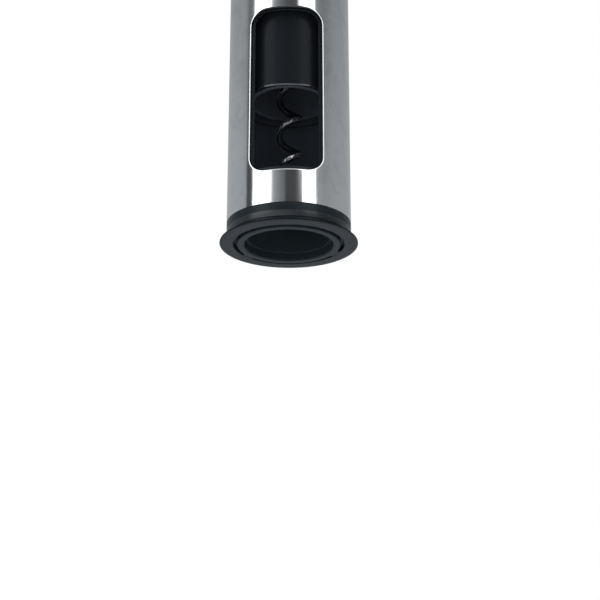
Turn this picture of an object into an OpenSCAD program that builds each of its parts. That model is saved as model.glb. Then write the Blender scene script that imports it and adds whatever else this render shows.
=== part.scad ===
// Electric wine opener: a stainless tube with a viewing window over a black neck collar, and above it
// a black handle that holds a geared motor, a battery pack and two push buttons.
// Z is the tube's axis, Z = 0 is the plane it stands on, and the window and buttons face -Y.

/* [Tube and window] */
// Outside diameter of the stainless tube
tube_d = 46; // [44:0.5:48]
// Wall of the stainless tube
tube_wall = 0.8; // [0.6:0.1:1]
// Straight width of the window, edge to edge
window_w = 26.5; // [22:0.5:28]
// Height of the window's lower edge above the base
window_low = 21; // [20.5:0.5:23]
// Height of the window
window_h = 65.6; // [50:0.1:66]
// Corner radius of the window
window_r = 6; // [4:0.5:10]

/* [Neck collar] */
// Outside diameter of the flange that meets the bottle
flange_d = 51; // [50:0.5:54]
// Height of the collar's visible band, where the steel begins
band_top = 8.2; // [7.5:0.1:9]
// Bore that centres the bottle's neck
neck_bore_d = 30.2; // [29.8:0.1:31]
// Bore that lets the cork past the stop
cork_bore_d = 26.4; // [26:0.1:27]

/* [Worm] */
// Rise of the worm in one turn
worm_pitch = 15; // [14.5:0.1:15.5]
// Thickness of the worm's wire
wire_d = 2.5; // [2.2:0.1:2.8]
// Radius of the coil at the wire's centre
coil_r = 3.8; // [2.4:0.1:4]
// How far the worm travels down into the cork
worm_travel = 52; // [45:1:52]

/* [Handle] */
// Overall height of the opener
total_h = 272; // [270:1:276]
// Width of the button pad
pad_w = 15; // [13:0.5:17]
// Height of the button pad
pad_h = 40; // [36:1:42]

/* [Gears] */
// Tooth size, pitch diameter over tooth count
gear_module = 0.65; // [0.62:0.01:0.66]

/* [Hidden] */
$fn = 64;
eps = 0.01;
tube_r = tube_d / 2;
tube_in = tube_r - tube_wall;
window_mid = window_low + window_h / 2;

// neck collar and guide
flange_r = flange_d / 2;
spigot_r = tube_in - 0.05;
spigot_top = 22.4;
groove_out = 20.5;
groove_in = 19.05;
groove_floor = 2.2;
mouth_r = 16.4;
mouth_step = 3.1;
neck_r = neck_bore_d / 2;
stop_low = 20;
lug_angles = [31.5, 143];
rim_low = 0.3;
rim_high = 1.1;
undercut_r = 22.4;
undercut_top = 2.8;
fillet = 1.2;

// liner, guide sleeve and its helical track
liner_r = spigot_r;
liner_in = liner_r - 1.2;
liner_top = 138;
sleeve_r = 18.5;
sleeve_low = 56.6;
sleeve_in = 17.2;
sleeve_flange_low = 135.2;
plate_low = 138.2;
plate_top = 141.2;
sleeve_screw_r = 19.65;
track_in = 15.6;
track_gap = 3.4;
track_starts = 2;

// drive tube and worm carriage
drive_r = 15;
drive_in = 13.3;
drive_low = 58;
drive_disc_low = 134.4;
drive_disc_top = 137.2;
hub_r = 6;
square_drive = 7;
pin_z = 128;
pin_d = 3;
slot_w = 3.3;
holder_low = 122;
holder_top = 133.8;
holder_r = drive_in - 0.2;
worm_tip = 25.5;
worm_top = 126;
coil_top = 116;

// planetary gear train, two stages in one ring
sun_teeth = 12;
planet_teeth = 15;
ring_teeth = sun_teeth + 2 * planet_teeth;
pressure = 25;
sun_pr = gear_module * sun_teeth / 2;
planet_pr = gear_module * planet_teeth / 2;
ring_pr = gear_module * ring_teeth / 2;
orbit_r = sun_pr + planet_pr;
addendum = 0.8 * gear_module;
dedendum = 1.05 * gear_module;
flank_gap = 0.045;
planets = 3;
ring_r = 17.5;
ring_high = 159;
ear_r = 18.2;
carrier_r = 12.8;
planet_pin_r = 1.5;
out_carrier = [141.6, 144];
out_planet = [144.4, 149.6];
mid_carrier = [150.4, 152.4];
in_planet = [152.8, 157.4];
cover_top = 161;

// motor
can_r = 13.9;
can_top = 199;
bell_top = 202;
shaft_r = 1;

// handle
handle_low = 152;
handle_high = 255;
handle_r = 23;
handle_in = 20.6;
seam_gap = 0.06;
lap_gap = 0.1;
lap_in = handle_in + 0.02;
lap_out = handle_in + 1;
lap_depth = 1.1;
lap_z = [206, 253.6];
boss_x = 17.3;
boss_z = [176, 202.6];
boss_r = 2.3;
rib_z = [166, 195];
pad_z = 232;
pad_gap = 0.4;
pad_proud = 0.7;
bezel_w = 1.6;
button_travel = 0.8;
button_gap = 0.7;
switch_dz = 10;
board_y = -15.9;
board_t = 1.2;
board_face = board_y - board_t;
switch_h = 3;
lens_z = 208;

// battery pack and charging socket
cell_r = 7.1;
cell_pitch = 14.6;
cell_low = 207.6;
cell_h = 43;
socket_z = 214;
socket_y = 15.2;

// ---------------------------------------------------------------- shared shapes

module ring(outer, inner, low, high) {
    translate([0, 0, low])
        difference() {
            cylinder(r = outer, h = high - low);
            translate([0, 0, -1]) cylinder(r = inner, h = high - low + 2);
        }
}

// A rounded rectangle in X and Z, pushed through Y from near to far.
module face_prism(w, h, r, z, near, far) {
    corner = [w / 2 - r, h / 2 - r];
    translate([0, far, z]) rotate([90, 0, 0])
        linear_extrude(far - near) {
            for (sx = [-1, 1], sz = [-1, 1])
                translate([sx * corner[0], sz * corner[1]]) circle(r = r);
            square([w, h - 2 * r], center = true);
            square([w - 2 * r, h], center = true);
        }
}

// A screw with its head down at the origin and its shank up; the head has a crossed recess.
module screw(head_r, head_h, shank_r, length) {
    difference() {
        union() {
            cylinder(r = head_r, h = head_h);
            translate([0, 0, head_h - eps]) cylinder(r = shank_r, h = length - head_h);
        }
        for (turn = [0, 90])
            rotate(turn) translate([-head_r * 0.65, -head_r * 0.14, -1])
                cube([head_r * 1.3, head_r * 0.28, 1 + head_h * 0.6]);
    }
}

// Radial copies of the children, count of them, the first at angle start.
module around(count, start = 0) {
    for (i = [0 : count - 1]) rotate(start + i * 360 / count) children();
}

// ---------------------------------------------------------------- gears

function roll(angle) = tan(angle) * 180 / PI - angle;

// Half the angle that a tooth takes up at radius r; widen is added to each flank, in mm on the pitch circle.
function half_tooth(teeth, r, widen) =
    let (pr = gear_module * teeth / 2, base = pr * cos(pressure))
    90 / teeth + widen / pr * 180 / PI + roll(pressure) - roll(acos(min(1, base / max(r, base))));

function gear_points(teeth, root, tip, widen, steps = 4) =
    let (base = gear_module * teeth / 2 * cos(pressure), low = max(root, base))
    [for (i = [0 : teeth - 1]) let (mid = i * 360 / teeth)
        each concat(
            [for (s = low > root ? [-1] : []) root * [cos(mid - half_tooth(teeth, low, widen)),
                                                       sin(mid - half_tooth(teeth, low, widen))]],
            [for (k = [0 : steps]) let (r = low + (tip - low) * k / steps, a = half_tooth(teeth, r, widen))
                r * [cos(mid - a), sin(mid - a)]],
            [for (k = [steps : -1 : 0]) let (r = low + (tip - low) * k / steps, a = half_tooth(teeth, r, widen))
                r * [cos(mid + a), sin(mid + a)]],
            [for (s = low > root ? [1] : []) root * [cos(mid + half_tooth(teeth, low, widen)),
                                                      sin(mid + half_tooth(teeth, low, widen))]]
        )];

module spur(teeth, low, high, bore) {
    pr = gear_module * teeth / 2;
    translate([0, 0, low])
        difference() {
            linear_extrude(high - low)
                polygon(gear_points(teeth, pr - dedendum, pr + addendum, -flank_gap));
            if (bore > 0) translate([0, 0, -1]) cylinder(r = bore, h = high - low + 2);
        }
}

// Turn of planet k about its own axis that puts its teeth in mesh with the sun and the ring.
function planet_turn(k) =
    let (at = k * 360 / planets) at * (1 + sun_teeth / planet_teeth) + 180 - 180 / planet_teeth;

module planet(k, span) {
    rotate(k * 360 / planets) translate([orbit_r, 0, 0]) rotate(planet_turn(k) - k * 360 / planets)
        spur(planet_teeth, span[0], span[1], planet_pin_r + 0.06);
}

module planet_pin_set(low, high) {
    around(planets) translate([orbit_r, 0, low]) cylinder(r = planet_pin_r, h = high - low);
}

// ---------------------------------------------------------------- sweeps

function unit(v) = v / norm(v);

// A tube of the given radii along the points; across is a direction that the first spoke of each ring leans to.
module sweep(points, radii, spokes, sides = 8) {
    last = len(points) - 1;
    rings = [for (i = [0 : last])
        let (along = unit(points[min(i + 1, last)] - points[max(i - 1, 0)]),
             b = unit(cross(along, spokes[i])), a = cross(b, along))
        for (k = [0 : sides - 1]) points[i] + radii[i] * (a * cos(k * 360 / sides) + b * sin(k * 360 / sides))];
    walls = [for (i = [0 : last - 1], k = [0 : sides - 1])
        let (p = i * sides + k, q = i * sides + (k + 1) % sides)
        each [[p, p + sides, q + sides], [p, q + sides, q]]];
    polyhedron(rings, concat([[for (k = [0 : sides - 1]) k]], walls,
        [[for (k = [sides - 1 : -1 : 0]) last * sides + k]]), convexity = 6);
}

// ---------------------------------------------------------------- tube, collar and neck guide

module body_tube() {
    color("silver")
        difference() {
            ring(tube_r, tube_in, band_top, handle_low - 2.4);
            face_prism(window_w, window_h, window_r, window_mid, -tube_r - 2, 0);
        }
}

module base_collar() {
    color("#23272a")
        rotate_extrude($fn = 96)
            polygon(concat(
                [[groove_out, rim_low], [flange_r - 0.3, rim_low], [flange_r, rim_low + 0.3]],
                [[flange_r, rim_high]],
                [for (a = [0 : 15 : 90]) [undercut_r + fillet * (1 - sin(a)), rim_high + fillet * (1 - cos(a))]],
                [[undercut_r, undercut_top - 0.2], [tube_r, undercut_top], [tube_r, band_top], [spigot_r, band_top], [spigot_r, spigot_top], [groove_out, spigot_top]]
            ));
}

module neck_guide() {
    outer = groove_out - 0.05;
    tube_out = neck_r + 1.7;
    color("#2a2e33") {
        difference() {
            union() {
                rotate_extrude($fn = 96)
                    polygon([
                        [mouth_r + 0.4, 0], [groove_in - 0.3, 0], [groove_in, 0.3], [groove_in, groove_floor],
                        [outer, groove_floor], [outer, groove_floor + 2], [tube_out, groove_floor + 2],
                        [tube_out, stop_low], [outer, stop_low], [outer, spigot_top],
                        [cork_bore_d / 2, spigot_top], [cork_bore_d / 2, stop_low], [neck_r, stop_low],
                        [neck_r, mouth_step], [mouth_r, mouth_step], [mouth_r, 0.4]
                    ]);
                for (at = lug_angles) rotate(at) lug();
                around(8, 22.5) translate([tube_out - 0.3, -0.6, groove_floor + 1])
                    cube([outer - tube_out - 0.2, 1.2, stop_low - groove_floor - 0.5]);
            }
        }
    }
}

// One of the two bayonet lugs that bridge the groove around the neck guide.
module lug() {
    intersection() {
        ring(groove_out - 0.05, groove_in - 0.4, 0.45, groove_floor + 0.3);
        translate([15, -2.6, 0]) cube([8, 5.2, 4]);
    }
}

// ---------------------------------------------------------------- liner, sleeve and feed track

module inner_liner() {
    slot_half = window_w / 2 - 1.5;
    slot_top = window_low + window_h - 0.2;
    color("#1b1e21")
        difference() {
            ring(liner_r, liner_in, spigot_top, liner_top);
            face_prism(2 * slot_half, 80, window_r - 1, slot_top - 40, -tube_r - 2, 0);
        }
}

module guide_sleeve() {
    soft = 0.7;
    color("#1d2226")
        difference() {
            rotate_extrude($fn = 96)
                polygon(concat(
                    [[sleeve_in, sleeve_low + 0.2], [sleeve_in + 0.2, sleeve_low]],
                    [for (a = [0 : 15 : 90]) [sleeve_r - soft + soft * sin(a), sleeve_low + soft - soft * cos(a)]],
                    [[sleeve_r, sleeve_flange_low], [liner_in - 0.1, sleeve_flange_low],
                     [liner_in - 0.1, plate_low], [sleeve_in, plate_low]]
                ));
            around(3, 60) translate([sleeve_screw_r, 0, sleeve_flange_low - 1]) cylinder(r = 0.7, h = 6);
        }
}

// Two helical lands inside the sleeve; the cross pin rides in the two gaps between them.
module feed_track() {
    land = worm_pitch / track_starts - track_gap;
    past = worm_pitch / 4;
    low = pin_z - worm_travel - past;
    climb = worm_travel + 2 * past;
    steps = round(climb / worm_pitch * 20);
    outer = sleeve_in - 0.05;
    color("#8a8f92")
        for (start = [0 : track_starts - 1]) {
            // The pin lies along X at rest, so the middle of a land is a quarter turn away from it.
            rings = [for (i = [0 : steps])
                let (z = low + climb * i / steps, a = 360 * (z - pin_z) / worm_pitch + 90 + start * 180)
                each [for (c = [[track_in, -land / 2], [outer, -land / 2], [outer, land / 2], [track_in, land / 2]])
                    [c[0] * cos(a), c[0] * sin(a), z + c[1]]]];
            walls = [for (i = [0 : steps - 1], k = [0 : 3])
                let (p = i * 4 + k, q = i * 4 + (k + 1) % 4)
                each [[p, p + 4, q + 4], [p, q + 4, q]]];
            polyhedron(rings, concat([[0, 1, 2], [0, 2, 3]], walls,
                [[steps * 4 + 3, steps * 4 + 2, steps * 4 + 1], [steps * 4 + 3, steps * 4 + 1, steps * 4]]),
                convexity = 8);
        }
}

module sleeve_screws() {
    color("gainsboro")
        around(3, 60) translate([sleeve_screw_r, 0, sleeve_flange_low - 1.1]) screw(1.05, 1.1, 0.6, 6);
}

// ---------------------------------------------------------------- drive tube and worm carriage

module drive_tube() {
    slot_low = pin_z - worm_travel;
    color("#30363a")
        difference() {
            union() {
                ring(drive_r, drive_in, drive_low, drive_disc_low + eps);
                translate([0, 0, drive_disc_low]) cylinder(r = drive_r, h = drive_disc_top - drive_disc_low);
                translate([0, 0, drive_disc_top - eps]) cylinder(r = hub_r, h = out_carrier[0] - drive_disc_top);
                translate([-square_drive / 2, -square_drive / 2, out_carrier[0] - 0.1])
                    cube([square_drive, square_drive, out_carrier[1] - out_carrier[0] + 0.1]);
            }
            for (side = [-1, 1]) {
                translate([side * drive_r, 0, (slot_low + pin_z) / 2])
                    cube([6, slot_w, worm_travel], center = true);
                for (end = [slot_low, pin_z])
                    translate([side * drive_r, 0, end]) rotate([0, 90, 0])
                        cylinder(r = slot_w / 2, h = 6, center = true);
            }
        }
}

module worm_holder() {
    color("#6b7075")
        difference() {
            union() {
                translate([0, 0, holder_low]) cylinder(r = holder_r, h = 2.4);
                translate([0, 0, holder_low + 2]) cylinder(r = 9, h = holder_top - holder_low - 4);
                translate([0, 0, holder_top - 2.4]) cylinder(r = holder_r, h = 2.4);
                translate([0, 0, pin_z]) cube([2 * holder_r - 3, 6, 7], center = true);
            }
            translate([0, 0, pin_z]) rotate([0, 90, 0]) cylinder(r = pin_d / 2 + 0.01, h = 60, center = true);
            translate([0, 0, holder_low - 1]) cylinder(r = wire_d / 2 + 0.05, h = worm_top - holder_low + 1.2);
            translate([0, -5, holder_low + 2.6]) rotate([90, 0, 0]) cylinder(r = 1.25, h = 10, center = true);
        }
}

module cross_pin() {
    color("gainsboro")
        translate([0, 0, pin_z]) rotate([0, 90, 0]) cylinder(r = pin_d / 2, h = 33.4, center = true);
}

// The wire coils up from its tip, then winds in to the axis and runs straight into the holder.
module worm() {
    per_turn = 16;
    coils = (coil_top - worm_tip) / worm_pitch;
    wind_in = 0.7;
    taper = 0.55;
    steps = round(coils * per_turn);
    coil = [for (i = [0 : steps])
        let (t = i / steps * coils, left = coils - t, a = 90 + 360 * t,
             r = coil_r * min(1, left / wind_in) * min(1, 0.55 + t))
        [r * cos(a), r * sin(a), worm_tip + worm_pitch * t]];
    shank = [for (z = [coil_top + 2, worm_top]) [0, 0, z]];
    thick = concat([for (i = [0 : steps]) wire_d / 2 * min(1, 0.08 + 0.92 * i / steps * coils / taper)],
                   [wire_d / 2, wire_d / 2]);
    spokes = concat([for (i = [0 : steps]) let (a = 90 + 360 * i / steps * coils) [cos(a), sin(a), 0]],
                    [for (i = [1, 2]) [cos(90 + 360 * coils), sin(90 + 360 * coils), 0]]);
    color("#3a3f44") sweep(concat(coil, shank), thick, spokes);
}

module grub_screw() {
    color("dimgray")
        translate([0, -wire_d / 2 - 0.1, holder_low + 2.6]) rotate([90, 0, 0])
            difference() {
                cylinder(r = 1.2, h = 6);
                translate([0, 0, 4.5]) cylinder(r = 0.7, h = 3, $fn = 6);
            }
}

// ---------------------------------------------------------------- gearbox

module gearbox_plate() {
    color("#4a5055")
        difference() {
            ring(tube_in - 0.1, hub_r + 1.6, plate_low, plate_top);
            around(3, 60) translate([sleeve_screw_r, 0, plate_low - 1]) cylinder(r = 0.65, h = 3.2);
            around(3, 0) translate([ear_r, 0, plate_low - 1]) cylinder(r = 0.85, h = 6);
        }
}

module output_bush() {
    color("#b08d57") ring(hub_r + 1.58, hub_r + 0.05, plate_low + 0.1, plate_top - 0.1);
}

module ring_gear() {
    color("whitesmoke")
        difference() {
            union() {
                translate([0, 0, plate_top]) cylinder(r = ring_r, h = ring_high - plate_top);
                around(3, 0) translate([ear_r, 0, plate_top]) cylinder(r = 2, h = ring_high - plate_top);
            }
            translate([0, 0, plate_top - 1]) linear_extrude(ring_high - plate_top + 2)
                polygon(gear_points(ring_teeth, ring_pr - addendum, ring_pr + dedendum, flank_gap));
            around(3, 0) translate([ear_r, 0, plate_top - 1]) cylinder(r = 0.95, h = ring_high - plate_top + 2);
        }
}

module output_carrier() {
    hole = square_drive + 0.1;
    color("silver")
        difference() {
            translate([0, 0, out_carrier[0]]) cylinder(r = carrier_r, h = out_carrier[1] - out_carrier[0]);
            translate([0, 0, out_carrier[0] + 1]) cube([hole, hole, 6], center = true);
            around(planets) translate([orbit_r, 0, out_carrier[0] - 1]) cylinder(r = planet_pin_r + 0.01, h = 6);
        }
}

module output_planet_pins() {
    color("gainsboro") planet_pin_set(out_carrier[0], out_planet[1] + 0.5);
}

module sun_carrier() {
    color("silver")
        difference() {
            union() {
                translate([0, 0, mid_carrier[0]]) cylinder(r = carrier_r, h = mid_carrier[1] - mid_carrier[0]);
                spur(sun_teeth, out_planet[0] + 0.2, mid_carrier[0] + 0.2, 0);
            }
            around(planets) translate([orbit_r, 0, mid_carrier[0] - 1]) cylinder(r = planet_pin_r + 0.01, h = 6);
        }
}

module input_planet_pins() {
    color("gainsboro") planet_pin_set(mid_carrier[0], in_planet[1] + 0.5);
}

module output_planet(k) {
    color("whitesmoke") planet(k, out_planet);
}

module input_planet(k) {
    color("whitesmoke") planet(k, in_planet);
}

module motor_pinion() {
    color("#b08d57") spur(sun_teeth, in_planet[0] + 0.1, in_planet[1] + 0.8, shaft_r + 0.01);
}

module gearbox_cover() {
    color("#4a5055")
        difference() {
            union() {
                translate([0, 0, ring_high]) cylinder(r = ring_r, h = cover_top - ring_high);
                around(3, 0) translate([ear_r, 0, ring_high]) cylinder(r = 2, h = cover_top - ring_high);
            }
            translate([0, 0, ring_high - 1]) cylinder(r = 5.1, h = 6);
            around(3, 0) translate([ear_r, 0, ring_high - 1]) cylinder(r = 0.95, h = 6);
            around(2, 0) translate([8, 0, ring_high - 1]) cylinder(r = 1.35, h = 6);
        }
}

module gearbox_screws() {
    color("gainsboro")
        around(3, 0) translate([ear_r, 0, cover_top + 1.2]) rotate([180, 0, 0]) screw(1.7, 1.2, 0.8, 23);
}

// ---------------------------------------------------------------- motor

module motor_can() {
    wall = 0.9;
    color("silver")
        difference() {
            union() {
                translate([0, 0, cover_top]) cylinder(r = can_r, h = can_top - cover_top);
                translate([0, 0, ring_high + 0.4]) cylinder(r = 5, h = 3);
            }
            translate([0, 0, cover_top + wall]) cylinder(r = can_r - wall, h = can_top - cover_top);
            translate([0, 0, ring_high - 1]) cylinder(r = shaft_r + 0.05, h = 8);
            around(2, 0) translate([8, 0, cover_top - 1]) cylinder(r = 0.95, h = 4);
        }
}

module motor_magnets() {
    color("#3b3b3d")
        for (side = [0, 180]) rotate(side)
            intersection() {
                ring(can_r - 1, 10.2, cover_top + 6, can_top - 6);
                translate([2.4, -15, cover_top]) cube([20, 30, 60]);
            }
}

// Laminated core with three wound slots.
module armature() {
    core = [cover_top + 7, can_top - 9];
    color("#8c5a2b")
        difference() {
            union() {
                ring(9.6, shaft_r + 0.01, core[0], core[1]);
                ring(6.6, shaft_r + 0.01, core[0] - 2.4, core[1] + 2.4);
            }
            around(3, 30) translate([5, -0.9, core[0] - 1]) cube([6, 1.8, core[1] - core[0] + 2]);
        }
}

module commutator() {
    color("#b87333")
        difference() {
            ring(3, shaft_r + 0.01, can_top - 6.2, can_top - 1);
            around(3, 0) translate([2.2, -0.2, can_top - 7]) cube([2, 0.4, 8]);
        }
}

module rotor_shaft() {
    color("gainsboro")
        translate([0, 0, in_planet[0] + 0.1]) cylinder(r = shaft_r, h = bell_top + 0.6 - in_planet[0]);
}

module motor_endbell() {
    color("#26292c")
        difference() {
            union() {
                translate([0, 0, can_top]) cylinder(r = can_r - 0.1, h = bell_top - can_top);
                translate([0, 0, can_top - 0.8]) cylinder(r = can_r - 1, h = 1.2);
            }
            translate([0, 0, can_top - 2]) cylinder(r = shaft_r + 0.05, h = 8);
            around(2, 90) translate([9.6, -1.5, can_top - 2]) cube([0.8, 3, 8]);
        }
}

module motor_terminals() {
    color("#c9a227")
        around(2, 90)
            difference() {
                translate([9.65, -1.4, can_top - 0.5]) cube([0.6, 2.8, bell_top + 3 - can_top]);
                translate([9, 0, bell_top + 1.3]) rotate([0, 90, 0]) cylinder(r = 0.6, h = 4);
            }
}

module motor_screws() {
    color("gainsboro")
        around(2, 0) translate([8, 0, ring_high - 0.6]) screw(1.8, 0.6, 0.9, 3.4);
}

// ---------------------------------------------------------------- handle

function waist(z) = handle_r - 0.9 * pow(sin(180 * min(1, max(0, (z - 154) / 48))), 2);

// The handle's outer line, with shallow finger grooves around the waist.
function handle_line() = concat(
    [[handle_r - 0.5, handle_low], [handle_r, handle_low + 0.5]],
    [for (z = [156 : 2 : 162]) [waist(z), z]],
    [for (g = [0 : 6]) let (z = 165 + 4.4 * g)
        each [[waist(z - 0.7), z - 0.7], [waist(z) - 0.45, z], [waist(z + 0.7), z + 0.7]]],
    [for (z = [195 : 2 : 203]) [waist(z), z]],
    [[handle_r, handle_high - 0.5], [handle_r - 0.5, handle_high]]
);

module handle_body() {
    difference() {
        union() {
            rotate_extrude($fn = 96)
                polygon(concat(
                    [[handle_in, plate_top + 0.1], [tube_in - 0.1, plate_top + 0.1], [tube_in - 0.1, handle_low]],
                    handle_line(), [[handle_in, handle_high]]
                ));
            for (z = rib_z) ring(handle_in + eps, can_r + 0.1, z, z + 2);
            for (z = boss_z, side = [-1, 1]) translate([side * boss_x, 0, z]) rotate([90, 0, 0])
                intersection() {
                    cylinder(r = boss_r, h = 28, center = true);
                    rotate([-90, 0, 0]) translate([-side * boss_x, 0, 0])
                        cylinder(r = handle_in + 0.6, h = 20, center = true);
                }
        }
        for (z = boss_z, side = [-1, 1]) translate([side * boss_x, 0, z]) rotate([90, 0, 0])
            cylinder(r = 0.9, h = 16, center = true);
        for (z = boss_z, side = [-1, 1]) translate([side * boss_x, 6, z]) rotate([-90, 0, 0])
            cylinder(r = 1.9, h = 20);
    }
}

module pad_shape(grow, low, high) {
    r = pad_w / 2 + grow;
    intersection() {
        face_prism(2 * r, pad_h + 2 * grow, r - eps, pad_z, -30, 0);
        ring(high, low, pad_z - 40, pad_z + 40);
    }
}

// Strips down both sides of the parting line, where the back shell laps inside the front one.
module lap_strips(inside, outside, depth, low, high) {
    for (side = [0, 1]) mirror([side, 0, 0])
        translate([inside, -depth, low]) cube([outside - inside, depth + 0.6, high - low]);
}

module handle_front() {
    color("#2b2f33")
        difference() {
            handle_body();
            translate([-40, -seam_gap, 0]) cube([80, 80, 400]);
            lap_strips(
                handle_in - 0.6, lap_out + lap_gap, lap_depth + lap_gap, lap_z[0] - lap_gap, lap_z[1] + lap_gap
            );
            intersection() {
                face_prism(pad_w + 2 * pad_gap, pad_h + 2 * pad_gap, pad_w / 2 + pad_gap - eps, pad_z, -30, 0);
                translate([-20, -40, 0]) cube([40, 40, 400]);
            }
            translate([0, -15, lens_z]) rotate([90, 0, 0]) cylinder(r = 1.5, h = 20);
        }
}

module handle_back() {
    color("#2b2f33")
        union() {
            difference() {
                handle_body();
                translate([-40, seam_gap - 80, 0]) cube([80, 80, 400]);
                translate([0, 15, socket_z]) rotate([-90, 0, 0]) cylinder(r = 2.6, h = 20);
            }
            lap_strips(lap_in, lap_out, lap_depth, lap_z[0], lap_z[1]);
        }
}

module handle_screws() {
    color("gainsboro")
        for (z = boss_z, side = [-1, 1])
            translate([side * boss_x, 7.45, z]) rotate([90, 0, 0]) screw(1.8, 1.4, 0.85, 13);
}

module handle_ring() {
    color("gainsboro")
        rotate_extrude($fn = 96)
            polygon([
                [tube_in, handle_low - 2.3], [tube_r + 0.1, handle_low - 2.3], [tube_r + 0.35, handle_low - 2],
                [tube_r + 0.35, handle_low - 0.4], [tube_r + 0.1, handle_low - 0.05], [tube_in, handle_low - 0.05]
            ]);
}

// ---------------------------------------------------------------- buttons

module button_bezel() {
    color("silver")
        difference() {
            pad_shape(bezel_w, handle_r, handle_r + 0.6);
            pad_shape(pad_gap, handle_r - 1, handle_r + 1);
        }
}

// One half of the pad: side is 1 for the upper button and -1 for the lower one.
module button(side) {
    z = pad_z + side * switch_dz;
    color("#34393e") {
        difference() {
            pad_shape(0, handle_r - 1.7, handle_r + pad_proud);
            translate([-20, -40, pad_z - (side > 0 ? 60 : button_gap / 2)])
                cube([40, 60, 60 + button_gap / 2]);
        }
        translate([0, -handle_r + 1.5, z]) rotate([-90, 0, 0]) cylinder(r = 1.5, h = 0.65);
    }
}

// A raised triangle that points up or down on the face of its button.
module arrow(side) {
    z = pad_z + side * switch_dz;
    color("gainsboro")
        intersection() {
            translate([0, -20, z]) rotate([90, 0, 0]) linear_extrude(10)
                polygon([[-3, -side * 1.9], [3, -side * 1.9], [0, side * 2.7]]);
            ring(handle_r + pad_proud + 0.3, handle_r + pad_proud, pad_z - 30, pad_z + 30);
        }
}

module plunger(side) {
    color("#c8b48a")
        translate([0, -handle_r + 2.2, pad_z + side * switch_dz]) rotate([-90, 0, 0]) cylinder(r = 1.5, h = 1.4);
}

module tact_switches() {
    color("#202224")
        for (side = [-1, 1]) translate([0, board_face, pad_z + side * switch_dz])
            difference() {
                translate([-3, -switch_h, -3]) cube([6, switch_h - 0.05, 6]);
                rotate([90, 0, 0]) translate([0, 0, 0.5]) cylinder(r = 1.65, h = 8);
            }
}

// ---------------------------------------------------------------- electronics

module control_board() {
    color("#1f5c3a")
        difference() {
            translate([-10.5, board_face, cell_low]) cube([21, board_t, cell_h]);
            for (x = [-8.6, 8.6], z = [cell_low + 2, cell_low + cell_h - 2])
                translate([x, board_face - 1, z]) rotate([-90, 0, 0]) cylinder(r = 0.8, h = 4);
        }
}

module board_parts() {
    chips = [[-7, 2.5, 4.5, 3.4, 1.2], [-7.6, 21, 3.4, 5, 1.4], [5, 20.5, 4, 5, 1.4], [4.8, 4, 3, 3, 1],
             [-7.4, 34, 3, 4, 1.1], [5.2, 35, 2.6, 3, 1.1]];
    color("#303438")
        for (c = chips) translate([c[0], board_face - c[4], cell_low + c[1]]) cube([c[2], c[4] - 0.02, c[3]]);
}

module indicator_lens() {
    color("#9fd0ff")
        translate([0, board_face - 1.2, lens_z]) rotate([90, 0, 0]) cylinder(r = 1.42, h = handle_r + board_face - 1.3);
}

module each_cell() {
    for (sx = [-1, 1], sy = [-1, 1]) translate([sx * cell_pitch / 2, sy * cell_pitch / 2, 0]) children();
}

module battery_tray() {
    color("#26292c")
        for (low = [cell_low - 1.5, cell_low + cell_h + 0.9])
            difference() {
                translate([0, 0, low]) intersection() {
                    cylinder(r = 20, h = 1.2);
                    translate([-16.4, -15.6, -1]) cube([32.8, 30.5, 4]);
                }
                each_cell() translate([0, 0, low - 1]) cylinder(r = 3, h = 4);
            }
}

module battery_cells() {
    color("#4c9a4a")
        each_cell() {
            translate([0, 0, cell_low]) cylinder(r = cell_r, h = cell_h - 0.8);
            translate([0, 0, cell_low + cell_h - 1]) cylinder(r = 2.7, h = 1.2);
        }
}

module battery_tabs() {
    color("gainsboro") {
        for (sx = [-1, 1]) translate([sx * cell_pitch / 2 - 2, -cell_pitch / 2 - 2, cell_low + cell_h + 0.25])
            cube([4, cell_pitch + 4, 0.2]);
        translate([-cell_pitch / 2 - 2, -2 - cell_pitch / 2, cell_low - 0.25]) cube([cell_pitch + 4, 4, 0.2]);
    }
}

// Red and black leads from the motor's terminals up the side of the battery pack.
module motor_leads() {
    routes = [
        [[0, 9.9, 205.3], [6, 13, 205.3], [12, 12, 205.3], [17.7, 4, 205.7], [18.4, -4, 208], [15.6, -11.6, 212],
         [11.5, -15.2, 214]],
        [[0, -9.9, 205.3], [-6, -12, 205.3], [-12, -10, 205.3], [-17.7, -3, 205.7], [-18.4, -5, 208],
         [-15.6, -11.6, 212], [-11.5, -15.2, 214]]
    ];
    color("#a02020")
        for (points = routes)
            sweep(points, [for (p = points) 0.55], [for (p = points) [0.1, 0.2, 1]]);
}

module charge_socket() {
    color("#202224")
        difference() {
            translate([-3.4, socket_y, socket_z - 3.4]) cube([6.8, 5, 6.8]);
            translate([0, socket_y + 1, socket_z]) rotate([-90, 0, 0]) cylinder(r = 2.1, h = 10);
        }
}

module charge_pin() {
    color("gainsboro")
        translate([0, socket_y + 1, socket_z]) rotate([-90, 0, 0]) cylinder(r = 0.6, h = 3.6);
}

// ---------------------------------------------------------------- top cap

module cap_trim() {
    color("gainsboro")
        rotate_extrude($fn = 96)
            polygon([
                [handle_in + 0.2, handle_high + 0.05], [handle_r + 0.1, handle_high + 0.05],
                [handle_r + 0.35, handle_high + 0.4], [handle_r + 0.35, handle_high + 1.9],
                [handle_r + 0.1, handle_high + 2.2], [handle_in + 0.2, handle_high + 2.2]
            ]);
}

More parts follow.
